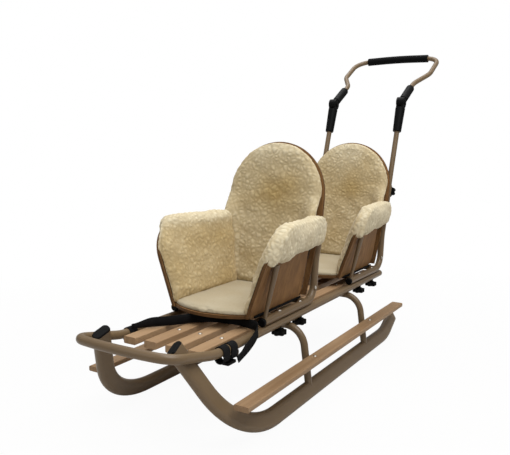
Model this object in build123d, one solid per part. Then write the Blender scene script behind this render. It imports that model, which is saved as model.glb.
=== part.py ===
"""Two-seat push sled: steel tube chassis, wooden deck, two lined bucket seats and a folding push handle.

Frame: +X is forward, +Y is the rider's left, +Z is up. The ground is z = 0. Lengths are in millimetres.
The pieces are first placed from the deck's own datum, then all are moved so that the origin is under
the middle of the whole sled.
"""
import os
from math import cos, radians, sin, sqrt, tan

from build123d import *

# Fits shared by all joints
WELD_GAP = 0.3          # room left where one tube is cut to sit on another
FIT = 0.2               # room round a piece that slides into another
PIN_FIT = 0.08          # room round the pivot pin

# Runners: flat-oval tube, its long side in the splayed plane of the bend
RUNNER_DEEP = 46.0
RUNNER_THICK = 24.0
RUNNER_SPLAY = 22.5     # degrees that the runner's plane leans in at the top
RUNNER_TRACK = 200.0    # middle of the sled to the middle of the tube on the ground
RUNNER_FRONT_X = 506.0  # where the ground run and the front rise would meet
RUNNER_FRONT_RISE = 65.0
RUNNER_FRONT_BEND = 237.0
RUNNER_FRONT_END = 246.0    # height of the front end, along the splayed plane
RUNNER_REAR_X = -425.0
RUNNER_REAR_RISE = 17.0
RUNNER_REAR_BEND = 260.0
RUNNER_REAR_REACH = 122.0   # length of the tail behind the rear bend's corner
PLUG_PROUD = 4.0
PLUG_TAPER = 25.0       # degrees that a plug's rim slopes in
PLUG_ROUND = 2.5

# Deck frame: one bent tube
DECK_TUBE = 22.0
DECK_HALF = 138.0       # middle of the sled to the tube's middle
DECK_HEIGHT = 212.0     # the tube's middle above the ground
DECK_REAR_X = -530.0
BOW_START_X = 522.0
BOW_RISE = 12.5         # degrees that the front bow slopes up
BOW_FRONT_X = 694.0
BOW_SAG = 24.0          # how far the bow's middle stands ahead of its corners
BOW_CORNER_BEND = 45.0
BOW_FRONT_BEND = 520.0
BOW_RISE_BEND = 150.0

# Legs and crossbar
LEG_TUBE = 20.0
LEG_LEAN = 8.0          # degrees that a leg leans in at the top
LEG_BEND = 58.0
LEG_ARCHES = {"front": 165.0, "rear": -240.0}   # arch name: x
CROSSBAR_X = 430.0

# Wooden deck
SLAT_WIDE = 36.0
SLAT_THICK = 18.0
SLAT_PITCH = 63.5
SLAT_COUNT = 4
SLAT_FRONT_X = 540.0
SLAT_REAR_X = -520.0
WOOD_ROUND = 3.0
BOARD_WIDE = 39.0
BOARD_THICK = 13.0
BOARD_TOP = 118.0
BOARD_FRONT_X = 536.0
BOARD_REAR_X = -506.0
TAB_THICK = 4.0
TAB_LONG = 34.0         # along the board
TAB_REACH = 31.0        # how far a tab reaches under its board

# Seat frames: measured forward from the foot of the upright and up from the rail's middle
SEATS = {"front": 24.0, "rear": -533.0}         # seat name: x of the upright's foot
SEAT_TUBE = 22.0
SEAT_TUBE_WALL = 1.5
RAIL_REACH = 285.0      # upright's foot to the rail's front end
UPRIGHT_BEND = 50.0
UPRIGHT_LEAN = 5.5      # degrees that the lower upright leans back
KINK_HIGH = 116.0       # where the upright bends further back
KINK_BEND = 120.0
PUSH_LEAN = 18.7        # degrees that the upper upright and the push tube lean back
FRONT_UPRIGHT_LONG = 92.0   # from the kink up
REAR_UPRIGHT_LONG = 190.0
SOCKET_DEEP = 110.0
CAP_PROUD = 9.0
POST_FOOT = 9.0
POST_TUBE = 16.0
POST_X = 280.0
POST_HIGH = 149.7
CROSS_TUBE = 16.0
CROSS_REAR_X = 55.0
CROSS_FRONT_X = 240.0

# Seat shell: plywood pan, back and twisted side panels
PLY = 8.0
PAN_HIGH = 12.7         # rail's middle to the pan's underside
PAN_FRONT_X = 322.0
PAN_BULGE = 36.0        # how far the pan's front edge curves ahead of its corners
PANEL_FOOT = 114.0      # middle of the sled to the side panel's foot
PANEL_FRONT_FLARE = 20.0    # degrees that a side panel leans out at its front edge
PANEL_REAR_FLARE = 9.5
PANEL_FRONT_X = 326.0
PANEL_REAR_X = 40.0
PANEL_HIGH = 216.0      # pan's underside to the panel's top edge
PANEL_FRONT_BEND = 92.0
PANEL_REAR_BEND = 50.0
PANEL_HEEL_BEND = 36.0
SHELL_SPARE = 80.0      # how far the panel's twisted surface is drawn past its outline
BACK_LEAN = 8.5
BACK_HIGH = 448.7       # rail's middle to the back's top
BACK_HALF = 157.0       # half width, and radius of the round top
BACK_FOOT_HALF = 124.0
BACK_SHOULDER = 238.0   # rail's middle to where the back starts to narrow downwards

# Sheepskin lining
FLEECE_BACK = 17.0
FLEECE_PAN = 10.0
FLEECE_ARM = 16.0
FLEECE_INSET = 3.0
FLEECE_ROUND = 5.0
FLEECE_ARM_FRONT_BEND = 95.0    # round top corners of the arm's lining
FLEECE_ARM_REAR_BEND = 46.0
FLEECE_ARM_REAR = 56.0  # how far the arm's lining reaches behind its panel
FLEECE_FLAP = 143.0     # pan's underside to the hem of the outside flap
FLEECE_GAP = 0.3

# Star knobs
KNOB_REAR_X = 85.0      # from the upright's foot
KNOB_FRONT_X = 201.0
KNOB_WIDE = 40.0
KNOB_CORE = 31.0
KNOB_LOBE = 13.0
KNOB_THICK = 13.0
KNOB_LOBES = 6
KNOB_BOSS = 15.0
KNOB_BOSS_LONG = 7.0
PUSH_KNOB_BELOW = 18.0  # from the upright's top down to the knob

# Push tubes, knuckles and handle bow
PUSH_TUBE = SEAT_TUBE - 2 * SEAT_TUBE_WALL - 2 * FIT
HUB_REACH = 513.0       # upright's kink to the pivot
HUB_WIDE = 41.0
TONGUE_THICK = 11.0
CHEEK_THICK = 7.5
CHEEK_GAP = 0.4
KNUCKLE_ARM = 25.0      # width of the flat between a knuckle's disc and its sleeve
PIN_WIDE = 9.0
PIN_HEAD = 17.0
PIN_HEAD_HIGH = 3.0
SLEEVE_WIDE = 31.0
LOWER_SLEEVE_ROOT = 36.0    # width of the lower sleeve next to the pivot
LOWER_SLEEVE_LONG = 92.0
UPPER_SLEEVE_LONG = 98.0
SLEEVE_CLEAR = 3.0      # from a sleeve's end to the other half's disc
HANDLE_RISE = 30.0      # degrees above level, pointing back, with the handle as it is pushed
HANDLE_TUBE = 18.6
HANDLE_NECK = 165.0     # pivot to the first bend
HANDLE_FLARE_LONG = 85.0
HANDLE_HALF = 181.0
HANDLE_REACH = 404.0
HANDLE_SAG = 14.0
HANDLE_NECK_BEND = 75.0
HANDLE_CORNER_BEND = 62.0
HANDLE_TOP_BEND = 900.0
GRIP_WIDE = 31.0
GRIP_LONG = 262.0

# Tow strap: flat webbing that runs on edge just above the slats and hangs outside the left deck tube
STRAP_WIDE = 25.0
STRAP_THICK = 2.4
STRAP_BEND = 0.45       # share of the shorter run that an arc of the strap takes up
STRAP_ROUTE = [
    (498.0, -126.5, 233.9), (459.0, -102.0, 233.9), (423.0, -67.0, 233.9), (395.0, -46.0, 233.9),
    (368.0, -22.0, 233.9), (353.0, 12.0, 233.9), (349.0, 55.0, 233.9), (346.0, 95.0, 233.9),
    (345.0, 122.0, 234.2), (348.0, 142.0, 236.6), (358.0, 153.5, 231.0), (376.0, 157.0, 219.0),
    (402.0, 157.0, 205.0), (430.0, 155.5, 193.0), (450.0, 153.5, 185.0),
]
LOOP_FIT = 0.3          # room between a loop and the tube in it
LOOP_DROP = 14.0        # how far a loop hangs below the tube
LOOP_LEFT_X = 490.0
LOOP_NEXT_X = 458.0
LOOP_RIGHT_X = 490.0
BUCKLE_X = 468.5
BUCKLE_LONG = 34.0
BUCKLE_WIDE = 27.0
BUCKLE_THICK = 6.0

SIDES = {"left": 1, "right": -1}                # side name: sign of y

# Places worked out from the sizes above
deck_r = DECK_TUBE / 2
leg_r = LEG_TUBE / 2
rail_r = SEAT_TUBE / 2
splay = radians(RUNNER_SPLAY)
runner_mid = (RUNNER_DEEP - RUNNER_THICK) / 2 * cos(splay) + RUNNER_THICK / 2
bar_mid = DECK_HEIGHT - deck_r - leg_r - WELD_GAP
slat_bottom = bar_mid + leg_r + WELD_GAP
rail_mid = DECK_HEIGHT + deck_r + rail_r + WELD_GAP
pan_bottom = rail_mid + PAN_HIGH
lean = radians(UPRIGHT_LEAN)
push_lean = radians(PUSH_LEAN)
back_lean = radians(BACK_LEAN)
push_dir = Vector(-sin(push_lean), 0, cos(push_lean))
parts = {}


def tube(points, bends, width):
    """A round bar along straight runs joined by bends."""
    path = FilletPolyline(*points, radius=bends)
    return sweep(Plane(origin=path @ 0, z_dir=path % 0) * Circle(width / 2), path=path)


def rod(start, end, width, end_width=None):
    """A straight round bar between two points, tapered where its end has another width."""
    axis = Vector(*end) - Vector(*start)
    section = Plane(origin=start, z_dir=axis) * Circle(width / 2)
    if end_width is None:
        return extrude(section, amount=axis.length)
    return loft([section, Plane(origin=end, z_dir=axis) * Circle(end_width / 2)])


def on_right(shape):
    """The mirror image of a piece of the left side."""
    return mirror(shape, about=Plane.XZ)


def both_sides(*shapes):
    """Pieces of the left side and their mirror images, as one node."""
    return Compound([half for shape in shapes for half in (shape, on_right(shape))])


def star_knob(boss_long):
    """A lobed hand knob below its boss, the boss's top end at the origin."""
    body = Circle(KNOB_CORE / 2)
    body += PolarLocations((KNOB_WIDE - KNOB_LOBE) / 2, KNOB_LOBES) * Circle(KNOB_LOBE / 2)
    star = extrude(body, amount=-KNOB_THICK)
    star = fillet(star.faces().sort_by(Axis.Z)[0].edges(), PLUG_ROUND)
    return Pos(0, 0, -boss_long) * star + extrude(Circle(KNOB_BOSS / 2), amount=-boss_long)


# Runners
runner_plane = Plane(origin=(0, RUNNER_TRACK, runner_mid), x_dir=(1, 0, 0),
                     z_dir=(0, -cos(splay), -sin(splay)))


def runner_path():
    """The runner's middle line in its own plane, from tail to front end."""
    rise = radians(RUNNER_FRONT_RISE)
    drop = radians(RUNNER_REAR_RISE)
    tail = (RUNNER_REAR_X - RUNNER_REAR_REACH * cos(drop), RUNNER_REAR_REACH * sin(drop))
    front = (RUNNER_FRONT_X + RUNNER_FRONT_END / tan(rise), RUNNER_FRONT_END)
    return FilletPolyline(tail, (RUNNER_REAR_X, 0), (RUNNER_FRONT_X, 0), front,
                          radius=[RUNNER_REAR_BEND, RUNNER_FRONT_BEND])


def runner_section(path, at, grow=0.0):
    """The oval section square to the path at its start or end, facing forward."""
    plane = Plane(origin=path @ at, x_dir=(0, 0, 1), z_dir=path % at)
    return plane * SlotOverall(RUNNER_DEEP + 2 * grow, RUNNER_THICK + 2 * grow, rotation=90)


def runner(grow=0.0):
    """The left runner, or with grow a slightly fatter one for cutting what sits on it."""
    path = runner_path()
    return runner_plane * sweep(runner_section(path, 0, grow), path=path)


def runner_plugs():
    """Tapered plugs at both ends of the left runner."""
    path = runner_path()
    front = extrude(runner_section(path, 1), amount=PLUG_PROUD, taper=PLUG_TAPER)
    rear = extrude(runner_section(path, 0), amount=PLUG_PROUD, dir=-(path % 0), taper=PLUG_TAPER)
    return [runner_plane * plug for plug in (front, rear)]


# Deck frame
bow_slope = tan(radians(BOW_RISE))


def bow_point(x, y):
    """A point on the sloping plane of the front bow."""
    return (x, y, DECK_HEIGHT + (x - BOW_START_X) * bow_slope)


bow_corner_x = BOW_FRONT_X - BOW_SAG
deck_points = [
    (DECK_REAR_X, -DECK_HALF, DECK_HEIGHT), bow_point(BOW_START_X, -DECK_HALF),
    bow_point(bow_corner_x, -DECK_HALF), bow_point(BOW_FRONT_X, 0), bow_point(bow_corner_x, DECK_HALF),
    bow_point(BOW_START_X, DECK_HALF), (DECK_REAR_X, DECK_HALF, DECK_HEIGHT),
]
deck_bends = [BOW_RISE_BEND, BOW_CORNER_BEND, BOW_FRONT_BEND, BOW_CORNER_BEND, BOW_RISE_BEND]
deck_cut = tube(deck_points, deck_bends, DECK_TUBE + 2 * WELD_GAP)
runner_cut = both_sides(runner(WELD_GAP))
parts["deck_frame"] = tube(deck_points, deck_bends, DECK_TUBE)
parts["runner_left"] = runner() - deck_cut
parts["runner_right"] = on_right(parts["runner_left"])
parts["runner_plugs"] = both_sides(*[plug - deck_cut for plug in runner_plugs()])
deck_plug = extrude(Plane(origin=deck_points[-1], z_dir=(-1, 0, 0)) * Circle(deck_r), amount=PLUG_PROUD)
deck_plug = fillet(deck_plug.faces().sort_by(Axis.X)[0].edges(), PLUG_ROUND)
parts["deck_plugs"] = both_sides(deck_plug)

# Leg arches, crossbar and footboard tabs
leg_tilt = tan(radians(LEG_LEAN))
knee_y = RUNNER_TRACK - (bar_mid - runner_mid) * leg_tilt
board_bottom = BOARD_TOP - BOARD_THICK
leg_y_at_board = RUNNER_TRACK - (board_bottom - runner_mid) * leg_tilt
board_inner = leg_y_at_board + leg_r / cos(radians(LEG_LEAN)) + WELD_GAP


def leg_arch(x, width):
    """A pair of legs and the bar between their tops, in one bent tube."""
    return tube([(x, -RUNNER_TRACK, runner_mid), (x, -knee_y, bar_mid), (x, knee_y, bar_mid),
                 (x, RUNNER_TRACK, runner_mid)], LEG_BEND, width)


def footboard_tab(x):
    """The steel tab on a left leg that carries the footboard."""
    tab = Box(TAB_LONG, board_inner + TAB_REACH - leg_y_at_board, TAB_THICK,
              align=(Align.CENTER, Align.MIN, Align.MAX))
    return Pos(x, leg_y_at_board, board_bottom - WELD_GAP) * tab - leg_arch(x, LEG_TUBE + 2 * WELD_GAP)


for name, x in LEG_ARCHES.items():
    parts[f"leg_arch_{name}"] = leg_arch(x, LEG_TUBE) - runner_cut
parts["deck_crossbar"] = rod((CROSSBAR_X, -DECK_HALF, bar_mid), (CROSSBAR_X, DECK_HALF, bar_mid), LEG_TUBE)
parts["footboard_tabs"] = both_sides(*[footboard_tab(x) for x in LEG_ARCHES.values()])


# Wooden slats and boards
def plank(rear_x, front_x, y, bottom, width, thick):
    """A wooden strip along X with its long edges rounded."""
    strip = Pos((rear_x + front_x) / 2, y, bottom) * Box(
        front_x - rear_x, width, thick, align=(Align.CENTER, Align.CENTER, Align.MIN))
    return fillet(strip.edges().filter_by(Axis.X), WOOD_ROUND)


for number in range(SLAT_COUNT):
    y = (number - (SLAT_COUNT - 1) / 2) * SLAT_PITCH
    parts[f"deck_slat_{number + 1}"] = plank(SLAT_REAR_X, SLAT_FRONT_X, y, slat_bottom, SLAT_WIDE, SLAT_THICK)
for side, sign in SIDES.items():
    y = sign * (board_inner + BOARD_WIDE / 2)
    parts[f"footboard_{side}"] = plank(BOARD_REAR_X, BOARD_FRONT_X, y, board_bottom, BOARD_WIDE, BOARD_THICK)

# Seat frames, built with the upright's foot at x = 0
kink = Vector(-KINK_HIGH * tan(lean), DECK_HALF, rail_mid + KINK_HIGH)


def on_push(q):
    """The point at a distance above the kink, on the upper upright and the push tube."""
    return tuple(kink + push_dir * q)


def upright(upper_long, width):
    """The left rail and rear upright in one bent tube."""
    return tube([(RAIL_REACH, DECK_HALF, rail_mid), (0, DECK_HALF, rail_mid), tuple(kink),
                 on_push(upper_long)], [UPRIGHT_BEND, KINK_BEND], width)


def rear_side_frame():
    """The rear seat's left frame, its top bored as the push tube's socket."""
    bore = SEAT_TUBE - 2 * SEAT_TUBE_WALL
    socket = rod(on_push(REAR_UPRIGHT_LONG - SOCKET_DEEP), on_push(REAR_UPRIGHT_LONG + FIT), bore)
    return upright(REAR_UPRIGHT_LONG, SEAT_TUBE) - socket


rail_cut = both_sides(rod((0, DECK_HALF, rail_mid), (RAIL_REACH + CAP_PROUD, DECK_HALF, rail_mid),
                          SEAT_TUBE + 2 * WELD_GAP))


def cross_tube(x):
    """A tube between the rails that carries the pan."""
    z = pan_bottom - CROSS_TUBE / 2 - WELD_GAP
    return rod((x, -DECK_HALF, z), (x, DECK_HALF, z), CROSS_TUBE) - rail_cut


def end_cap(end, direction):
    """The plastic cap on an open end of a frame tube."""
    cap = extrude(Plane(origin=end, z_dir=direction) * Circle(rail_r), amount=CAP_PROUD)
    return fillet(cap.faces().sort_by_distance(end)[-1].edges(), PLUG_ROUND)


def clamp_knob(x):
    """A star knob that clamps the left rail on the deck tube, its boss cut to the tube."""
    return Pos(x, DECK_HALF, DECK_HEIGHT) * star_knob(deck_r + KNOB_BOSS_LONG) - Pos(x, 0, 0) * rod(
        (-KNOB_WIDE, DECK_HALF, DECK_HEIGHT), (KNOB_WIDE, DECK_HALF, DECK_HEIGHT), DECK_TUBE + 2 * WELD_GAP)


# Side panels: a plate whose flare grows from its rear edge to its front edge
rear_slope = tan(radians(PANEL_REAR_FLARE))
front_slope = tan(radians(PANEL_FRONT_FLARE))
outline_plane = Plane(origin=(0, 0, pan_bottom), x_dir=(1, 0, 0), z_dir=(0, -1, 0))


def side_slope(x):
    """How far the left panel leans out at a place along it, as a slope."""
    return rear_slope + (front_slope - rear_slope) * (x - PANEL_REAR_X) / (PANEL_FRONT_X - PANEL_REAR_X)


def shell_section(x, inner, outer):
    """The panel's cross-section at x, between two distances from its middle surface."""
    slope = side_slope(x)
    across = sqrt(1 + slope ** 2)
    low, high = -SHELL_SPARE, PANEL_HIGH + SHELL_SPARE
    corners = [(PANEL_FOOT + z * slope + depth * across, z)
               for z, depth in ((low, inner), (low, outer), (high, outer), (high, inner))]
    plane = Plane(origin=(x, 0, pan_bottom), x_dir=(0, 1, 0), z_dir=(1, 0, 0))
    return plane * make_face(Polyline(*corners, close=True))


def shell(inner, outer, outline):
    """The twisted plate between two distances from its middle surface, cut to a side view's outline."""
    ends = (PANEL_REAR_X - SHELL_SPARE, PANEL_FRONT_X + SHELL_SPARE)
    plate = loft([shell_section(x, inner, outer) for x in ends], ruled=True)
    return plate & outline_plane * extrude(outline, amount=-4 * PANEL_FOOT)


def panel_outline(grow=0.0):
    """The side panel's outline as seen from the side."""
    rear, front = PANEL_REAR_X - grow, PANEL_FRONT_X + grow
    low, high = -grow, PANEL_HIGH + grow
    return make_face(FilletPolyline(
        (rear, low), (front, low), (front, high), (rear, high), close=True,
        radius=[PANEL_HEEL_BEND, WOOD_ROUND, PANEL_FRONT_BEND, PANEL_REAR_BEND]))


def front_post():
    """The left front post, from the rail's top to the outside of the panel."""
    slope = side_slope(POST_X)
    foot = (POST_X, DECK_HALF, rail_mid)
    stand_off = (PLY / 2 + POST_TUBE / 2 + WELD_GAP) * sqrt(1 + slope ** 2)
    top_y = PANEL_FOOT + (POST_HIGH - PAN_HIGH) * slope + stand_off
    return rod(foot, (POST_X, top_y, rail_mid + POST_HIGH), POST_FOOT, POST_TUBE) - rail_cut


# Seat back: a flat board that rests on the uprights at their kink
back_plane = Plane(origin=(kink.X + rail_r / cos(lean) + WELD_GAP, 0, kink.Z), x_dir=(0, 1, 0),
                   z_dir=(cos(back_lean), 0, sin(back_lean)))


def up_back(height):
    """The distance up the back, from its rest on the uprights, of a height above the rail's middle."""
    return (height - KINK_HIGH) / cos(back_lean)


def back_outline(inset=0.0):
    """The back's outline in its own plane: a round top on sides that narrow to the foot."""
    half, foot_half = BACK_HALF - inset, BACK_FOOT_HALF - inset
    crown_mid = up_back(BACK_HIGH) - BACK_HALF
    shoulder = up_back(BACK_SHOULDER)
    foot = up_back(PAN_HIGH) + inset
    sides = Polyline((-half, crown_mid), (-half, shoulder), (-foot_half, foot), (foot_half, foot),
                     (half, shoulder), (half, crown_mid))
    return make_face([sides, ThreePointArc((half, crown_mid), (0, crown_mid + half), (-half, crown_mid))])


# Seat pan
pan_half = PANEL_FOOT - PLY / 2 * sqrt(1 + front_slope ** 2) - WELD_GAP
back_foot_x = back_plane.origin.X + (KINK_HIGH - PAN_HIGH) * tan(back_lean) + PLY / cos(back_lean)
pan_rear_x = back_foot_x + WELD_GAP


def pan_outline(inset=0.0):
    """The pan's outline from above, with its curved front edge."""
    half = pan_half - inset
    rear, front = pan_rear_x + inset, PAN_FRONT_X - inset
    edge = Polyline((front, -half), (rear, -half), (rear, half), (front, half))
    return make_face([edge, ThreePointArc((front, half), (front + PAN_BULGE, 0), (front, -half))])


# Sheepskin lining
lining_floor = PLY + FLEECE_PAN + 2 * FLEECE_GAP


def fleece_back():
    """The lining in front of the back, down to the lining on the pan."""
    pad = extrude(back_outline(FLEECE_INSET), amount=FLEECE_BACK)
    pad = fillet(pad.faces().sort_by(Axis.Z)[-1].edges(), FLEECE_ROUND)
    pad = back_plane.offset(PLY + FLEECE_GAP) * pad
    return split(pad, bisect_by=Plane(origin=(0, 0, pan_bottom + lining_floor)), keep=Keep.TOP)


def fleece_pan():
    """The lining on the pan."""
    pad = extrude(pan_outline(FLEECE_INSET), amount=FLEECE_PAN)
    pad = fillet(pad.faces().sort_by(Axis.Z)[-1].edges(), FLEECE_ROUND)
    return Pos(0, 0, pan_bottom + PLY + FLEECE_GAP) * pad


def arm_outline():
    """The outline of the arm's lining from the side: over the panel's top and back to the upright."""
    rear, high = PANEL_REAR_X - FLEECE_ARM_REAR, PANEL_HIGH + FLEECE_ARM
    return make_face(FilletPolyline(
        (rear, 0), (PANEL_FRONT_X, 0), (PANEL_FRONT_X, high), (rear, high), close=True,
        radius=[WOOD_ROUND, WOOD_ROUND, FLEECE_ARM_FRONT_BEND, FLEECE_ARM_REAR_BEND]))


def below(height):
    """A side view's area from under the panel up to a height."""
    long = PANEL_FRONT_X - PANEL_REAR_X + 2 * SHELL_SPARE
    area = Rectangle(long, height + SHELL_SPARE, align=(Align.MIN, Align.MAX))
    return Pos(PANEL_REAR_X - SHELL_SPARE, height) * area


def fleece_arm():
    """The lining of the left side panel, turned over its top edge to the outside."""
    reach = PLY / 2 + FLEECE_ARM
    near = PLY / 2 + FLEECE_GAP
    hide = shell(-reach, reach, arm_outline()) - shell(-near, near, panel_outline(FLEECE_GAP))
    hide -= shell(0, 2 * reach, below(FLEECE_FLAP))
    hide -= shell(-2 * reach, 0, below(lining_floor))
    back_room = PLY + FLEECE_BACK + 2 * FLEECE_GAP
    behind = back_plane.offset(-2 * SEAT_TUBE) * extrude(
        back_outline(-FLEECE_GAP), amount=2 * SEAT_TUBE + back_room)
    return hide - behind - upright(REAR_UPRIGHT_LONG, SEAT_TUBE + 2 * FLEECE_GAP)


single = {
    "pan": Pos(0, 0, pan_bottom) * extrude(pan_outline(), amount=PLY),
    "back": back_plane * extrude(back_outline(), amount=PLY),
    "cross_tubes": Compound([cross_tube(x) for x in (CROSS_REAR_X, CROSS_FRONT_X)]),
    "fleece_back": fleece_back(),
    "fleece_pan": fleece_pan(),
}
sided = {"post": front_post(), "panel": shell(-PLY / 2, PLY / 2, panel_outline()), "fleece_arm": fleece_arm()}
frames = {"front": upright(FRONT_UPRIGHT_LONG, SEAT_TUBE), "rear": rear_side_frame()}
caps, knobs = [], []
for seat, x in SEATS.items():
    place = Pos(x, 0, 0)
    for piece, shape in single.items():
        parts[f"{seat}_{piece}"] = place * shape
    for piece, shape in (sided | {"side_frame": frames[seat]}).items():
        parts[f"{seat}_{piece}_left"] = place * shape
        parts[f"{seat}_{piece}_right"] = place * on_right(shape)
    caps.append(place * end_cap((RAIL_REACH, DECK_HALF, rail_mid), (1, 0, 0)))
    knobs += [place * clamp_knob(station) for station in (KNOB_REAR_X, KNOB_FRONT_X)]
caps.append(Pos(SEATS["front"], 0, 0) * end_cap(on_push(FRONT_UPRIGHT_LONG), push_dir))
parts["rail_caps"] = both_sides(*caps)
parts["clamp_knobs"] = both_sides(*knobs)

# Push tubes in the rear seat's uprights, and their clamp knobs
rear = Pos(SEATS["rear"], 0, 0)
sleeve_root = HUB_WIDE / 2 + SLEEVE_CLEAR
push_tube = rear * rod(on_push(REAR_UPRIGHT_LONG - SOCKET_DEEP + FIT),
                       on_push(HUB_REACH - sleeve_root - PLUG_PROUD - FIT), PUSH_TUBE)
knob_place = Plane(origin=on_push(REAR_UPRIGHT_LONG - PUSH_KNOB_BELOW),
                   z_dir=(cos(push_lean), 0, sin(push_lean)))
push_knob = knob_place * star_knob(rail_r + KNOB_BOSS_LONG) - upright(
    REAR_UPRIGHT_LONG + KNOB_WIDE, SEAT_TUBE + 2 * WELD_GAP)
parts["push_tube_left"] = push_tube
parts["push_tube_right"] = on_right(push_tube)
parts["push_knobs"] = both_sides(rear * push_knob)

# Folding knuckles
hub = Vector(*on_push(HUB_REACH)) + Vector(SEATS["rear"], 0, 0)
rise = radians(HANDLE_RISE)
handle_dir = Vector(-cos(rise), 0, sin(rise))
fork_half = TONGUE_THICK / 2 + CHEEK_GAP + CHEEK_THICK


def disc(width, y_low, y_high):
    """A round disc about the pivot's axis, between two places along Y."""
    plane = Plane(origin=(hub.X, y_low, hub.Z), z_dir=(0, 1, 0))
    return extrude(plane * Circle(width / 2), amount=y_high - y_low)


def sleeve(direction, root_width, long, bore):
    """A plastic sleeve that points from the pivot, bored for its tube."""
    start = hub + direction * sleeve_root
    end = start + direction * long
    body = rod(tuple(start), tuple(end), root_width, SLEEVE_WIDE)
    body = fillet(body.faces().sort_by_distance(hub)[-1].edges(), PLUG_ROUND)
    return body - rod(tuple(start + direction * PLUG_PROUD), tuple(end + direction * FIT), bore)


def arm(direction, thick):
    """A flat arm from the pivot to its sleeve."""
    plane = Plane(origin=hub, x_dir=direction, z_dir=(0, 1, 0))
    flat = Rectangle(sleeve_root + PLUG_PROUD, KNUCKLE_ARM, align=(Align.MIN, Align.CENTER))
    return extrude(plane * flat, amount=thick / 2, both=True)


def lower_knuckle():
    """The fork on the push tube."""
    down = push_dir * -1
    inner = TONGUE_THICK / 2 + CHEEK_GAP
    fork = disc(HUB_WIDE, hub.Y - fork_half, hub.Y + fork_half) + arm(down, 2 * fork_half)
    slot = disc(HUB_WIDE + 2 * SLEEVE_CLEAR, hub.Y - inner, hub.Y + inner)
    fork = fork - slot + sleeve(down, LOWER_SLEEVE_ROOT, LOWER_SLEEVE_LONG, PUSH_TUBE + 2 * FIT)
    return fork - disc(PIN_WIDE + 2 * PIN_FIT, hub.Y - HUB_WIDE, hub.Y + HUB_WIDE)


def upper_knuckle():
    """The tongue on the handle bow."""
    tongue = disc(HUB_WIDE, hub.Y - TONGUE_THICK / 2, hub.Y + TONGUE_THICK / 2)
    tongue += arm(handle_dir, TONGUE_THICK)
    tongue += sleeve(handle_dir, SLEEVE_WIDE, UPPER_SLEEVE_LONG, HANDLE_TUBE + 2 * FIT)
    return tongue - disc(PIN_WIDE + 2 * PIN_FIT, hub.Y - HUB_WIDE, hub.Y + HUB_WIDE)


def pivot_pin():
    """The pin with a head on each cheek."""
    reach = fork_half + PIN_FIT
    shaft = disc(PIN_WIDE, hub.Y - reach, hub.Y + reach)
    outer = disc(PIN_HEAD, hub.Y + reach, hub.Y + reach + PIN_HEAD_HIGH)
    inner = disc(PIN_HEAD, hub.Y - reach - PIN_HEAD_HIGH, hub.Y - reach)
    return shaft + outer + inner


for piece, shape in {"lower": lower_knuckle(), "upper": upper_knuckle()}.items():
    parts[f"knuckle_{piece}_left"] = shape
    parts[f"knuckle_{piece}_right"] = on_right(shape)
parts["knuckle_pins"] = both_sides(pivot_pin())


# Handle bow and grip
def bow_at(reach, y):
    """A point of the handle's plane, at a distance from the pivot's axis."""
    return (hub.X + handle_dir.X * reach, y, hub.Z + handle_dir.Z * reach)


half_bow = [(sleeve_root + PLUG_PROUD + FIT, DECK_HALF), (HANDLE_NECK, DECK_HALF),
            (HANDLE_NECK + HANDLE_FLARE_LONG, HANDLE_HALF), (HANDLE_REACH, HANDLE_HALF)]
bow_points = [bow_at(reach, y) for reach, y in half_bow]
bow_points += [bow_at(HANDLE_REACH + HANDLE_SAG, 0)]
bow_points += [bow_at(reach, -y) for reach, y in reversed(half_bow)]
bow_bends = [HANDLE_NECK_BEND, HANDLE_NECK_BEND, HANDLE_CORNER_BEND, HANDLE_TOP_BEND,
             HANDLE_CORNER_BEND, HANDLE_NECK_BEND, HANDLE_NECK_BEND]
bow_core = tube(bow_points, bow_bends, HANDLE_TUBE + 2 * FIT)
foam = tube(bow_points, bow_bends, GRIP_WIDE) & Box(8 * HANDLE_REACH, GRIP_LONG, 8 * HANDLE_REACH)
foam = max(foam.solids(), key=lambda solid: solid.center().Z)
parts["handle_bow"] = tube(bow_points, bow_bends, HANDLE_TUBE)
parts["handle_grip"] = foam - bow_core


# Tow strap, its loops on the deck tube and its slider
def strap_bends():
    """The arcs at the route's corners, each as large as its two runs allow."""
    points = [Vector(*point) for point in STRAP_ROUTE]
    radii = []
    for before, corner, after in zip(points, points[1:], points[2:]):
        turn = radians((corner - before).get_angle(after - corner))
        shorter = min((corner - before).length, (after - corner).length)
        radii.append(STRAP_BEND * shorter / tan(turn / 2))
    return radii


def strap_loop(x, sign):
    """A flat loop of webbing that hangs on a deck tube."""
    wide = DECK_TUBE + 2 * (LOOP_FIT + STRAP_THICK)
    ring = SlotOverall(wide + LOOP_DROP, wide, rotation=90)
    ring -= SlotOverall(wide + LOOP_DROP - 2 * STRAP_THICK, wide - 2 * STRAP_THICK, rotation=90)
    plane = Plane(origin=(x, sign * DECK_HALF, DECK_HEIGHT - LOOP_DROP / 2), x_dir=(0, 1, 0), z_dir=(1, 0, 0))
    return plane * extrude(ring, amount=STRAP_WIDE / 2, both=True)


def strap_buckle():
    """The flat slider under the left loops, with its two slots."""
    top = DECK_HEIGHT - deck_r - LOOP_FIT - STRAP_THICK - LOOP_DROP - LOOP_FIT
    slot_wide = BUCKLE_WIDE - 2 * STRAP_THICK
    plate = Rectangle(BUCKLE_LONG, BUCKLE_WIDE)
    plate = fillet(plate.vertices(), PLUG_ROUND)
    plate -= GridLocations(BUCKLE_LONG / 2, 0, 2, 1) * Rectangle(2 * STRAP_THICK, slot_wide)
    return Pos(BUCKLE_X, DECK_HALF, top) * extrude(plate, amount=-BUCKLE_THICK)


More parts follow.
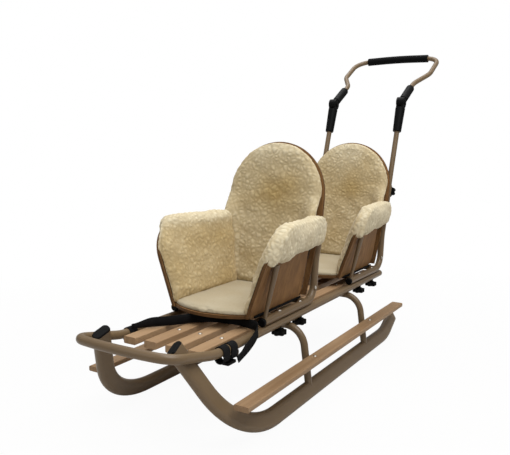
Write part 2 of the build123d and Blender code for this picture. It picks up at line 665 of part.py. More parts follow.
strap_radii = strap_bends()
strap_path = FilletPolyline(*STRAP_ROUTE, radius=strap_radii)
strap_start = Plane(origin=strap_path @ 0, x_dir=(0, 0, 1), z_dir=strap_path % 0)
parts["tow_strap"] = sweep(strap_start * Rectangle(STRAP_WIDE, STRAP_THICK), path=strap_path)
parts["strap_loops"] = Compound([strap_loop(LOOP_LEFT_X, 1), strap_loop(LOOP_NEXT_X, 1),
                                 strap_loop(LOOP_RIGHT_X, -1)])
parts["strap_buckle"] = strap_buckle()

# Move everything so that the origin is under the middle, and write the pieces
box = Compound(list(parts.values())).bounding_box()
shift = Pos(-(box.min.X + box.max.X) / 2, 0, 0)
os.makedirs("parts", exist_ok=True)
for name, shape in parts.items():
    export_step(shift * shape, f"parts/{name}.step")
print("pieces", len(parts), "box", box.size, "lowest", box.min.Z)
print("pivot", hub.X + shift.position.X, hub.Z, "shift", shift.position.X)
print("strap length", strap_path.length, "volume", parts["tow_strap"].volume)
print("strap radii", [round(radius, 1) for radius in strap_radii])
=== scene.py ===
"""Dresses the two-seat push sled: paint, beech, plywood, sheepskin linings and the tow strap."""
import logging
import math
from dataclasses import dataclass, field
from enum import Enum
from typing import Iterable, Sequence

import bmesh
import bpy
import numpy as np
from mathutils import Matrix, Vector, noise
from mathutils.bvhtree import BVHTree


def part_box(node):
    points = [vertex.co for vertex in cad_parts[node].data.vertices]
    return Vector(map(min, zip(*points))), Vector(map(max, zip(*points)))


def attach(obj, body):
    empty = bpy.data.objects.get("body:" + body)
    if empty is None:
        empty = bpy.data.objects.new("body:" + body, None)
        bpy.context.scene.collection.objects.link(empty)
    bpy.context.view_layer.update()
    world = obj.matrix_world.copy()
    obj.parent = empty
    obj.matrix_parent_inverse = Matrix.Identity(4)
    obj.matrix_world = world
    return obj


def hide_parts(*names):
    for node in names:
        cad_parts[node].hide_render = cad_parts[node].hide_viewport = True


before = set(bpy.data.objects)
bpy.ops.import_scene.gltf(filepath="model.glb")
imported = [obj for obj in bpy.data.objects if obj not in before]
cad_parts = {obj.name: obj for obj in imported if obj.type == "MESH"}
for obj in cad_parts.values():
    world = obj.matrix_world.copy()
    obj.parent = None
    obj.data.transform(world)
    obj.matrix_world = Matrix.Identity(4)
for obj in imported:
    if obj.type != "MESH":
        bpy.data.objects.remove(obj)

LOG = logging.getLogger("sled")
MM = 0.001
UP = Vector((0, 0, 1))
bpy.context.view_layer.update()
NODES: dict[str, bpy.types.Object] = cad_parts
# The deck's own datum in the row frame: the deck tube's rear plugs end 534 mm behind it.
DATUM_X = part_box("deck_plugs")[0].x + 534 * MM
# Where the seats' side frames start, in millimetres from the datum.
FRONT_SEAT_X, REAR_SEAT_X = SEAT_STARTS = (24.0, -533.0)
SLATS = 4
# Without a seed, the noise that swirls the wool would follow the clock.
NOISE_SEED = 7
Colour = tuple[float, float, float]
Place = tuple[float, float, float]
Span = tuple[float, float]
Material = bpy.types.Material
Mesh = bpy.types.Mesh
BMesh = bmesh.types.BMesh
Socket = bpy.types.NodeSocket


class Body(Enum):
    """The rigid bodies that new pieces ride on."""

    SLED = "sled"


class Side(Enum):
    """A side of the sled, with the sign of its Y."""

    LEFT = 1
    RIGHT = -1

    @property
    def word(self) -> str:
        """The side's name as nodes use it."""
        return self.name.lower()


class Axis(Enum):
    """An axis of the row frame, by its place in a vector."""

    X = 0
    Y = 1
    Z = 2


def at(x: float, y: float, z: float) -> Vector:
    """A place given in millimetres from the deck's datum, as a row-frame point in metres."""
    return Vector((DATUM_X + x * MM, y * MM, z * MM))


def from_datum(place: Vector) -> Place:
    """A row-frame point as millimetres from the deck's datum."""
    return (place.x - DATUM_X) / MM, place.y / MM, place.z / MM


def settle(value: float, start: float, end: float) -> float:
    """A smooth step from 0 at start to 1 at end, which may be the lower of the two."""
    share = min(1.0, max(0.0, (value - start) / (end - start)))
    return share * share * (3 - 2 * share)


def read_places(mesh: Mesh) -> np.ndarray:
    """The places of a mesh's vertices, one row each."""
    places = np.empty(3 * len(mesh.vertices))
    mesh.vertices.foreach_get("co", places)
    return places.reshape(-1, 3)


def write_places(mesh: Mesh, places: np.ndarray) -> None:
    """Move a mesh's vertices to new places."""
    mesh.vertices.foreach_set("co", places.ravel())
    mesh.update()


def store(mesh: Mesh, key: str, values: Sequence[float]) -> None:
    """Keep a number on each of a mesh's vertices, in place of any earlier one."""
    layer = mesh.attributes.get(key) or mesh.attributes.new(key, "FLOAT", "POINT")
    layer.data.foreach_set("value", values)


def opened(mesh: Mesh) -> BMesh:
    """A bmesh with a copy of a mesh."""
    bm = bmesh.new()
    bm.from_mesh(mesh)
    return bm


def add_object(name: str, mesh: Mesh) -> bpy.types.Object:
    """Put a mesh in the scene as an object at the origin."""
    piece = bpy.data.objects.new(name, mesh)
    bpy.context.scene.collection.objects.link(piece)
    return piece


def to_mesh(bm: BMesh, name: str, material: Material) -> Mesh:
    """Turn a finished bmesh into a smooth mesh.

    Args:
        bm: the bmesh, which is freed.
        name: the mesh's name.
        material: the finish of all its faces.

    Returns:
        The new mesh.
    """
    mesh = bpy.data.meshes.new(name)
    bm.to_mesh(mesh)
    bm.free()
    mesh.materials.append(material)
    mesh.shade_smooth()
    return mesh


# Finishes
class NodeTree:
    """A node tree being made, with short ways to add and join its nodes."""

    def __init__(self, owner: Material | bpy.types.World) -> None:
        """Start from the tree that Blender gives its owner."""
        owner.use_nodes = True
        self.tree = owner.node_tree

    def add(self, kind: str, **values: object) -> bpy.types.Node:
        """Add a node.

        Args:
            kind: Blender's node type, without its first word.
            values: settings of the node, or default values of its inputs, by name.

        Returns:
            The new node.
        """
        node = self.tree.nodes.new(f"ShaderNode{kind}")
        for key, value in values.items():
            if hasattr(node, key):
                setattr(node, key, value)
            else:
                node.inputs[key.replace("_", " ")].default_value = value
        return node

    def link(self, source: Socket, target: Socket) -> None:
        """Join two sockets."""
        self.tree.links.new(source, target)

    def feed(self, value: Socket | Colour | float, target: Socket) -> None:
        """Give a socket another one, a linear colour or a number."""
        if isinstance(value, Socket):
            self.link(value, target)
        else:
            target.default_value = (*value, 1.0) if isinstance(value, tuple) else value

    def show(self, share: Socket, first: Socket, second: Socket, output: str) -> None:
        """Mix two shaders, and join them to the output node of that name."""
        both = self.add("MixShader")
        for number, source in enumerate((share, first, second)):
            self.link(source, both.inputs[number])
        self.link(both.outputs[0], self.tree.nodes[output].inputs["Surface"])


class Shader(NodeTree):
    """A material being made from one principled shader."""

    def __init__(self, name: str) -> None:
        """Start the material."""
        self.material = bpy.data.materials.new(name)
        super().__init__(self.material)
        self.bsdf = self.tree.nodes["Principled BSDF"]
        self.place = self.add("TexCoord").outputs["Object"]

    def mapped(self, scale: Sequence[float], source: Socket | None = None) -> Socket:
        """Object coordinates or another place, scaled.

        Args:
            scale: pattern repeats along each axis.
            source: the place to scale, or object coordinates.

        Returns:
            The socket with the mapped place.
        """
        node = self.add("Mapping")
        node.inputs["Scale"].default_value = scale
        self.link(source or self.place, node.inputs["Vector"])
        return node.outputs["Vector"]

    def noise(self, scale: float = 1.0, detail: float = 2.0, place: Socket | None = None,
              distortion: float = 0.0) -> Socket:
        """A noise pattern, from 0 to 1.

        Args:
            scale: repeats per metre, or on a mapped place per unit.
            detail: octaves.
            place: mapped place, or object coordinates.
            distortion: how much the pattern swirls.

        Returns:
            The socket with the pattern.
        """
        node = self.add("TexNoise", Scale=scale, Detail=detail, Distortion=distortion)
        self.link(place or self.place, node.inputs["Vector"])
        return node.outputs["Fac"]

    def ribs(self, place: Socket, axis: Axis) -> Socket:
        """Even ribs across an axis of an already scaled place, from 0 to 1."""
        node = self.add("TexWave", bands_direction=axis.name, Scale=1.0, Distortion=0.0)
        self.link(place, node.inputs["Vector"])
        return node.outputs["Fac"]

    def attribute(self, name: str) -> Socket:
        """A number stored on the piece's own vertices."""
        return self.add("Attribute", attribute_name=name).outputs["Fac"]

    def facing(self, axis: Axis) -> Socket:
        """How squarely the surface faces along an axis, from 0 to 1."""
        parts = self.add("SeparateXYZ")
        self.link(self.add("NewGeometry").outputs["Normal"], parts.inputs[0])
        size = self.add("Math", operation="ABSOLUTE")
        self.link(parts.outputs[axis.value], size.inputs[0])
        return size.outputs[0]

    def ramp(self, source: Socket, stops: Iterable[tuple[float, Colour]]) -> Socket:
        """Colours along a pattern.

        Args:
            source: the pattern.
            stops: pairs of position and linear colour.

        Returns:
            The socket with the colour.
        """
        node = self.add("ValToRGB")
        elements = node.color_ramp.elements
        stops = list(stops)
        while len(elements) < len(stops):
            elements.new(0.5)
        for element, (position, colour) in zip(elements, stops):
            element.position = position
            element.color = (*colour, 1.0)
        self.link(source, node.inputs["Fac"])
        return node.outputs["Color"]

    def step(self, source: Socket, low: float, high: float, most: float = 1.0) -> Socket:
        """A pattern that is 0 below one value and rises to its most at another."""
        return self.ramp(source, [(low, (0.0, 0.0, 0.0)), (high, (most, most, most))])

    def mix(self, factor: Socket | float, first: Socket | Colour, second: Socket | Colour,
            blend: str = "MIX") -> Socket:
        """Mix two colours.

        Args:
            factor: socket or number.
            first: socket or linear colour.
            second: socket or linear colour.
            blend: Blender's blend type.

        Returns:
            The socket with the mixed colour.
        """
        node = self.add("Mix", data_type="RGBA", blend_type=blend)
        for number, value in ((0, factor), (6, first), (7, second)):
            self.feed(value, node.inputs[number])
        return node.outputs[2]

    def spread(self, source: Socket, low: float, high: float) -> Socket:
        """Map a 0 to 1 pattern to a range."""
        node = self.add("MapRange", To_Min=low, To_Max=high)
        self.link(source, node.inputs["Value"])
        return node.outputs["Result"]

    def bump(self, source: Socket, strength: float, distance: float) -> Socket:
        """Raise the surface by a pattern.

        Args:
            source: the pattern.
            strength: share of the bump that shows.
            distance: height in metres.

        Returns:
            The socket with the normal.
        """
        node = self.add("Bump", Strength=strength, Distance=distance)
        self.link(source, node.inputs["Height"])
        return node.outputs["Normal"]

    def finish(self, colour: Socket | Colour, roughness: Socket | float,
               normal: Socket | None = None, **sockets: float) -> Material:
        """Join the main inputs.

        Args:
            colour: socket or linear colour.
            roughness: socket or number.
            normal: socket of the bump.
            sockets: plain numbers for other inputs, by name.

        Returns:
            The finished material.
        """
        self.feed(colour, self.bsdf.inputs["Base Color"])
        self.feed(roughness, self.bsdf.inputs["Roughness"])
        if normal is not None:
            self.link(normal, self.bsdf.inputs["Normal"])
        for key, value in sockets.items():
            self.feed(value, self.bsdf.inputs[key.replace("_", " ")])
        return self.material


@dataclass(frozen=True)
class PowderCoat:
    """Satin taupe paint on the steel tubes, with a fine orange peel and a few rubbed specks."""

    colour: Colour = (0.172, 0.116, 0.062)
    shade: Colour = (0.136, 0.09, 0.047)
    rubbed: Colour = (0.2, 0.15, 0.098)

    def make(self) -> Material:
        """Build the material."""
        s = Shader("powder_coat")
        cloud = s.noise(scale=9.0, detail=3.0)
        peel = s.noise(scale=900.0, detail=1.0)
        specks = s.step(s.noise(scale=170.0), low=0.72, high=0.82, most=0.35)
        colour = s.mix(specks, s.mix(cloud, self.shade, self.colour), self.rubbed)
        rough = s.spread(cloud, low=0.3, high=0.4)
        normal = s.bump(peel, strength=0.1, distance=0.0004)
        return s.finish(colour, rough, normal, Specular_IOR_Level=0.36)


@dataclass(frozen=True)
class Beech:
    """Varnished beech with its grain along the plank."""

    name: str
    tone: float = 1.0
    pale: Colour = (0.52, 0.335, 0.185)
    deep: Colour = (0.38, 0.228, 0.115)
    fleck: Colour = (0.25, 0.14, 0.07)

    def make(self) -> Material:
        """Build the material."""
        s = Shader(self.name)
        pale, deep, fleck = (tuple(self.tone * part for part in colour)
                             for colour in (self.pale, self.deep, self.fleck))
        grain = s.noise(detail=5.0, place=s.mapped((2.2, 95.0, 60.0)), distortion=0.6)
        bands = s.noise(detail=2.0, place=s.mapped((0.9, 26.0, 18.0)), distortion=1.2)
        rays = s.noise(detail=1.0, place=s.mapped((75.0, 900.0, 420.0)))
        planks = s.noise(detail=0.0, place=s.mapped((0.0, 15.7, 0.0)))
        colour = s.ramp(grain, [(0.3, deep), (0.7, pale)])
        colour = s.mix(s.step(bands, low=0.4, high=0.62), colour, pale)
        colour = s.mix(s.step(rays, low=0.62, high=0.74, most=0.5), colour, fleck)
        colour = s.mix(s.step(planks, low=0.45, high=0.7, most=0.45), colour, deep)
        rough = s.spread(grain, low=0.42, high=0.54)
        normal = s.bump(grain, strength=0.2, distance=0.0005)
        return s.finish(colour, rough, normal, Specular_IOR_Level=0.22)


@dataclass(frozen=True)
class StainedPly:
    """Brown stained plywood, with grain along one axis of its face and a darker cut edge."""

    name: str
    face: Axis
    grain_scale: Place
    pale: Colour = (0.31, 0.165, 0.066)
    deep: Colour = (0.16, 0.081, 0.031)
    edge: Colour = (0.075, 0.04, 0.018)
    pores_per_line: int = 9

    def make(self) -> Material:
        """Build the material."""
        s = Shader(self.name)
        grain = s.noise(detail=6.0, place=s.mapped(self.grain_scale), distortion=0.8)
        fine = tuple(self.pores_per_line * scale for scale in self.grain_scale)
        pores = s.noise(detail=1.0, place=s.mapped(fine))
        plies = s.noise(scale=60.0, detail=4.0)
        cloud = s.spread(s.noise(scale=7.0), low=0.0, high=0.4)
        colour = s.mix(cloud, s.ramp(grain, [(0.3, self.deep), (0.72, self.pale)]), self.deep)
        colour = s.mix(s.step(pores, low=0.6, high=0.72, most=0.5), colour, self.deep)
        flat = s.step(s.facing(self.face), low=0.5, high=0.7)
        colour = s.mix(flat, s.mix(plies, self.edge, self.deep), colour)
        rough = s.spread(grain, low=0.5, high=0.62)
        normal = s.bump(grain, strength=0.25, distance=0.0005)
        return s.finish(colour, rough, normal, Specular_IOR_Level=0.1)


@dataclass(frozen=True)
class Moulded:
    """Moulded plastic or foam with a fine stipple."""

    name: str
    colour: Colour = (0.0022, 0.0023, 0.0024)
    lighter: float = 1.6
    rough: Span = (0.44, 0.56)
    stipple: float = 1400.0
    depth: float = 0.0003

    def make(self) -> Material:
        """Build the material."""
        s = Shader(self.name)
        fine = s.noise(self.stipple)
        light = tuple(self.lighter * part for part in self.colour)
        colour = s.mix(s.noise(scale=14.0), self.colour, light)
        normal = s.bump(fine, strength=0.3, distance=self.depth)
        return s.finish(colour, s.spread(fine, *self.rough), normal, Specular_IOR_Level=0.09)


@dataclass(frozen=True)
class Webbing:
    """Black woven strap with ribs across it, along its own map or along the loops' X."""

    name: str
    mapped: bool
    colour: Colour = (0.006, 0.006, 0.0065)
    thread: Colour = (0.018, 0.018, 0.019)
    ribs_per_metre: float = 620.0
    weft_share: float = 0.6

    def make(self) -> Material:
        """Build the material."""
        s = Shader(self.name)
        place = s.add("UVMap", uv_map="weave").outputs["UV"] if self.mapped else s.place
        pitch = self.ribs_per_metre
        warp = s.ribs(s.mapped((pitch, pitch, pitch), place), Axis.X)
        weft = s.ribs(s.mapped((pitch, self.weft_share * pitch, pitch), place), Axis.Y)
        weave = s.mix(0.5, warp, weft)
        fray = s.noise(scale=90.0, detail=3.0)
        colour = s.mix(weave, self.colour, s.mix(fray, self.colour, self.thread))
        normal = s.bump(weave, strength=0.6, distance=0.0005)
        return s.finish(colour, roughness=0.8, normal=normal, Specular_IOR_Level=0.08)


@dataclass(frozen=True)
class Wool:
    """Cream wool: pale on the curls' tips with painted shade between them, tan in patches and in
    spots of painted shade and light, and painted shade on the hide.
    """

    name: str
    # The tips take the first colour; the darker second colour between the curls is painted shade.
    tip: Colour = (0.72, 0.65, 0.48)
    deep: Colour = (0.5, 0.415, 0.26)
    patch: Colour = (0.7, 0.57, 0.33)
    # The hide's edge is there, but its near-black colour is painted shade behind the panels.
    hide: Colour = (0.035, 0.02, 0.01)
    fibre: float = 420.0
    fluff: float = 0.0009

    def make(self) -> Material:
        """Build the material."""
        s = Shader(self.name)
        fibre = s.noise(self.fibre, detail=3.0, distortion=2.0)
        # Paleness of the curls: the darker colour between the tufts is painted shade in their
        # crevices.
        colour = s.ramp(s.attribute("curl"), [(0.1, self.deep), (0.9, self.tip)])
        # The tan share carries tan patches and the spots of painted shade and light.
        for share in (s.attribute("tan"), s.spread(fibre, low=0.0, high=0.2)):
            colour = s.mix(share, colour, s.mix(1.0, colour, self.patch, "MULTIPLY"))
        # Painted shade where the hide shows.
        colour = s.mix(s.attribute("skin"), colour, self.hide)
        normal = s.bump(fibre, strength=0.22, distance=self.fluff)
        return s.finish(colour, roughness=0.95, normal=normal, Specular_IOR_Level=0.1,
                        Sheen_Weight=0.1, Sheen_Roughness=0.6)


@dataclass(frozen=True)
class ZincSteel:
    """Bright plated rivets and bolt heads."""

    colour: Colour = (0.62, 0.58, 0.52)
    scuffed: Colour = (0.5, 0.47, 0.42)

    def make(self) -> Material:
        """Build the material."""
        s = Shader("zinc_steel")
        scuff = s.noise(scale=300.0, detail=3.0)
        colour = s.mix(scuff, self.colour, self.scuffed)
        return s.finish(colour, s.spread(scuff, low=0.22, high=0.4), Metallic=1.0)


class Finishes:
    """All the finishes of the sled, made once."""

    def __init__(self) -> None:
        """Build every material."""
        # Repeats of the plywood's grain per metre.
        along, across = 3.2, 70.0
        self.paint = PowderCoat().make()
        self.slat = Beech("beech_slat", tone=0.72).make()
        # The footboards' lower tone is painted shade: their tops, seen at a grazing angle, look
        # darker than the slats.
        self.board = Beech("beech_board_shaded", tone=0.61).make()
        self.pan = StainedPly("ply_pan", Axis.Z, (along, across, across)).make()
        self.back = StainedPly("ply_back", Axis.X, (across, across, along)).make()
        self.panel = StainedPly("ply_panel", Axis.Y, (across, across, along)).make()
        self.plastic = Moulded("black_plastic").make()
        self.foam = Moulded("foam_grip", rough=(0.69, 0.81), stipple=900.0, depth=0.0006).make()
        self.strap = Webbing("strap_webbing", mapped=True).make()
        self.loop = Webbing("loop_webbing", mapped=False).make()
        self.wool = Wool("sheepskin").make()
        self.short_wool = Wool("short_fleece", tip=(0.44, 0.39, 0.285), deep=(0.4, 0.345, 0.24),
                               fibre=700.0, fluff=0.0005).make()
        self.zinc = ZincSteel().make()


def pair(stem: str) -> list[str]:
    """The names of a left and a right node."""
    return [f"{stem}_{side.word}" for side in Side]


def dress(material: Material, *nodes: str) -> None:
    """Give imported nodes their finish."""
    for node in nodes:
        mesh = NODES[node].data
        mesh.materials.clear()
        mesh.materials.append(material)


# Studio
@dataclass(frozen=True)
class SoftBox:
    """A round soft lamp: its place and width in metres, and its power in watts."""

    name: str
    place: Place
    width: float
    watts: float

    def hang(self, aim: Place) -> None:
        """Put the lamp in the scene, pointed at a place."""
        lamp = bpy.data.lights.new(self.name, "AREA")
        lamp.shape, lamp.size, lamp.energy = "DISK", self.width, self.watts
        holder = bpy.data.objects.new(self.name, lamp)
        holder.location = self.place
        holder.rotation_mode = "QUATERNION"
        holder.rotation_quaternion = (Vector(aim) - Vector(self.place)).to_track_quat("-Z", "Y")
        bpy.context.scene.collection.objects.link(holder)


@dataclass
class Studio:
    """Pale floor, soft light and the camera, whose eye is in millimetres from the datum."""

    focal_px: float = 614.35
    frame_px: int = 510
    eye: Place = (1598.08, 892.03, 677.0)
    yaw: float = 0.543893
    pitch: float = 0.135126
    roll: float = 0.0077154
    floor_half: float = 14.0
    floor_colour: Colour = (0.6, 0.59, 0.58)
    floor_glow: float = 0.95
    shadow_reach: Span = (0.7, 1.7)
    sky: Span = (0.07, 0.8)
    sky_colour: Colour = (1.0, 0.99, 0.975)
    horizon: float = -0.1
    aim: Place = (0.0, 0.0, 0.35)
    lamps: tuple[SoftBox, ...] = (
        SoftBox("key", (0.7, 1.4, 3.1), 2.2, 70.0),
        SoftBox("top", (-0.9, -0.6, 3.2), 2.4, 40.0),
        SoftBox("front", (3.2, -1.2, 1.9), 2.0, 10.0),
    )

    def build(self) -> None:
        """Make the whole studio."""
        self.floor()
        self.world()
        for lamp in self.lamps:
            lamp.hang(self.aim)
        self.camera()
        bpy.context.scene.view_settings.view_transform = "Standard"

    def camera(self) -> None:
        """Place the camera where the photograph was taken."""
        data = bpy.data.cameras.new("view")
        data.sensor_fit = "HORIZONTAL"
        data.sensor_width = 36.0
        data.lens = self.focal_px / self.frame_px * data.sensor_width
        data.clip_start, data.clip_end = 0.05, 60.0
        level = math.cos(self.pitch)
        ahead = Vector((-math.cos(self.yaw) * level, -math.sin(self.yaw) * level,
                        -math.sin(self.pitch)))
        right = ahead.cross(UP).normalized()
        turn = Matrix((right, right.cross(ahead), -ahead)).transposed()
        turn = turn @ Matrix.Rotation(self.roll, 3, "Z")
        camera = bpy.data.objects.new("view", data)
        camera.matrix_world = Matrix.Translation(at(*self.eye)) @ turn.to_4x4()
        bpy.context.scene.collection.objects.link(camera)
        bpy.context.scene.camera = camera

    def floor(self) -> None:
        """Make the floor, white to the camera apart from a soft shadow."""
        bm = bmesh.new()
        bmesh.ops.create_grid(bm, x_segments=4, y_segments=4, size=self.floor_half)
        s = Shader("floor_paper")
        s.finish(self.floor_colour, roughness=0.9)
        glow = s.add("Emission", Strength=1.0)
        path = s.add("LightPath")
        far = s.add("VectorMath", operation="LENGTH")
        s.link(s.place, far.inputs[0])
        near_end, far_end = self.shadow_reach
        fade = s.add("MapRange", From_Min=near_end, From_Max=far_end,
                     To_Min=self.floor_glow, To_Max=1.0)
        s.link(far.outputs["Value"], fade.inputs["Value"])
        share = s.add("Math", operation="MULTIPLY")
        s.link(path.outputs["Is Camera Ray"], share.inputs[0])
        s.link(fade.outputs["Result"], share.inputs[1])
        s.show(share.outputs[0], s.bsdf.outputs[0], glow.outputs[0], "Material Output")
        add_object("floor", to_mesh(bm, "floor", s.material))

    def world(self) -> None:
        """Light the sled from all round, most from above, and show the camera plain white."""
        world = bpy.data.worlds.new("studio")
        s = NodeTree(world)
        sky = s.tree.nodes["Background"]
        sky.inputs["Color"].default_value = (*self.sky_colour, 1.0)
        parts = s.add("SeparateXYZ")
        s.link(s.add("TexCoord").outputs["Generated"], parts.inputs[0])
        low, high = self.sky
        rise = s.add("MapRange", From_Min=self.horizon, To_Min=low, To_Max=high)
        s.link(parts.outputs["Z"], rise.inputs["Value"])
        s.link(rise.outputs["Result"], sky.inputs["Strength"])
        white = s.add("Background", Color=(1.0, 1.0, 1.0, 1.0), Strength=1.0)
        path = s.add("LightPath")
        s.show(path.outputs["Is Camera Ray"], sky.outputs[0], white.outputs[0], "World Output")
        bpy.context.scene.world = world


# Tow strap
@dataclass
class TowStrap:
    """Flat webbing on edge across the deck, over the left tube and down to its slider.

    Lengths are in millimetres.
    """

    wide: float = 25.0
    thick: float = 2.4
    length: float = 452.7
    edge_round: float = 0.9
    gather: float = 55.0
    gathered: float = 0.5
    tuck: float = 22.0
    tucked: float = 0.78
    sag: float = 0.4
    route: tuple[Place, ...] = (
        (498.0, -126.5, 233.9), (459.0, -102.0, 233.9), (423.0, -69.0, 233.6),
        (392.0, -50.0, 233.4), (359.0, -28.0, 233.3), (335.0, 8.0, 233.3),
        (326.0, 52.0, 233.3), (329.0, 94.0, 233.4), (340.0, 122.0, 234.0),
        (348.0, 142.0, 236.6), (358.0, 153.5, 231.0), (376.0, 157.0, 219.0),
        (402.0, 157.0, 205.0), (430.0, 155.5, 193.0), (450.0, 153.5, 185.0),
    )

    def line(self) -> list[Vector]:
        """Points along the strap's smooth middle line, from the right loop to the slider."""
        curve = bpy.data.curves.new("strap_line", "CURVE")
        curve.dimensions = "3D"
        spline = curve.splines.new("NURBS")
        spline.points.add(len(self.route) - 1)
        for point, place in zip(spline.points, self.route):
            point.co = (*at(*place), 1.0)
        spline.order_u = 3
        spline.use_endpoint_u = True
        curve.resolution_u = 10
        holder = bpy.data.objects.new("strap_line", curve)
        mesh = bpy.data.meshes.new_from_object(holder)
        points = [vertex.co.copy() for vertex in mesh.vertices]
        bpy.data.meshes.remove(mesh)
        bpy.data.objects.remove(holder)
        bpy.data.curves.remove(curve)
        return points

    def width_share(self, along: float) -> float:
        """How much of the width is left at a place along the strap, in metres from its start."""
        left = self.length * MM - along
        first = self.gathered + (1.0 - self.gathered) * settle(along, 0.0, self.gather * MM)
        last = self.tucked + (1.0 - self.tucked) * settle(left, 0.0, self.tuck * MM)
        return min(first, last)

    def section(self, middle: Vector, ahead: Vector, along: float) -> list[Vector]:
        """The corners of the webbing's section at one place.

        Args:
            middle: the place on the middle line.
            ahead: the line's direction there.
            along: the length from the strap's start, in metres.

        Returns:
            Six points: four corners and the middle of each selvedge.
        """
        up = (UP - UP.dot(ahead) * ahead).normalized()
        out = ahead.cross(up)
        share = self.width_share(along)
        half, thin = share * self.wide / 2 * MM, self.thick / 2 * MM
        middle = middle - up * (1.0 - share) * self.sag * self.wide * MM
        inner = half - self.edge_round * MM
        outline = ((inner, thin), (half, 0.0), (inner, -thin),
                   (-inner, -thin), (-half, 0.0), (-inner, thin))
        return [middle + up * high + out * deep for high, deep in outline]

    def ribbon(self, points: Sequence[Vector]) -> BMesh:
        """Draw the section along the line, and map the weave by length along and across.

        Args:
            points: the middle line.

        Returns:
            The closed ribbon.
        """
        bm = bmesh.new()
        weave = bm.loops.layers.uv.new("weave")
        corners = self.section(points[0], (points[1] - points[0]).normalized(), 0.0)
        first = [bm.verts.new(corner) for corner in corners]
        ring = [bm.edges.new(pair) for pair in zip(first, first[1:] + first[:1])]
        bmesh.ops.contextual_create(bm, geom=ring)
        travelled = 0.0
        for number in range(1, len(points)):
            here, behind = points[number], points[number - 1]
            step = (here - behind).length
            ahead = (points[min(number + 1, len(points) - 1)] - behind).normalized()
            grown = bmesh.ops.extrude_edge_only(bm, edges=ring)["geom"]
            before = {item: item.co.copy() for item in grown
                      if isinstance(item, bmesh.types.BMVert)}
            targets = self.section(here, ahead, travelled + step)
            for vert, old in before.items():
                nearest = min(range(len(corners)), key=lambda i: (corners[i] - old).length)
                vert.co = targets[nearest]
            corners = targets
            for wall in (item for item in grown if isinstance(item, bmesh.types.BMFace)):
                for loop in wall.loops:
                    fresh = loop.vert in before
                    across = (loop.vert.co - (here if fresh else behind)).length
                    loop[weave].uv = (travelled + (step if fresh else 0.0), across)
            travelled += step
            ring = [item for item in grown if isinstance(item, bmesh.types.BMEdge)
                    and all(vert in before for vert in item.verts)]
        bmesh.ops.contextual_create(bm, geom=ring)
        bmesh.ops.recalc_face_normals(bm, faces=bm.faces)
        return bm

    def build(self, finishes: Finishes) -> None:
        """Make the strap as a cord, and dress the loops and the slider on it."""
        points = self.line()
        mesh = to_mesh(self.ribbon(points), "tow_strap_webbing", finishes.strap)
        strap = add_object("tow_strap_webbing", mesh)
        dress(finishes.loop, "strap_loops")
        dress(finishes.plastic, "strap_buckle")
        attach(strap, Body.SLED.value)
        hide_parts("tow_strap")


# Chassis and handle
class Chassis:
    """Runners, deck frame, arches and the wooden deck."""

    def build(self, finishes: Finishes) -> None:
        """Dress the chassis."""
        dress(finishes.paint, *pair("runner"), "deck_frame", "leg_arch_front", "leg_arch_rear",
              "deck_crossbar", "footboard_tabs")
        dress(finishes.plastic, "runner_plugs", "deck_plugs")
        dress(finishes.slat, *(f"deck_slat_{number}" for number in range(1, SLATS + 1)))
        dress(finishes.board, *pair("footboard"))


class PushHandle:
    """Push tubes, folding knuckles and the handle bow, with the sled's knobs and caps."""

    def build(self, finishes: Finishes) -> None:
        """Dress the handle."""
        dress(finishes.paint, *pair("push_tube"), "handle_bow")
        dress(finishes.plastic, *pair("knuckle_lower"), *pair("knuckle_upper"), "knuckle_pins",
              "push_knobs", "clamp_knobs", "rail_caps")
        dress(finishes.foam, "handle_grip")


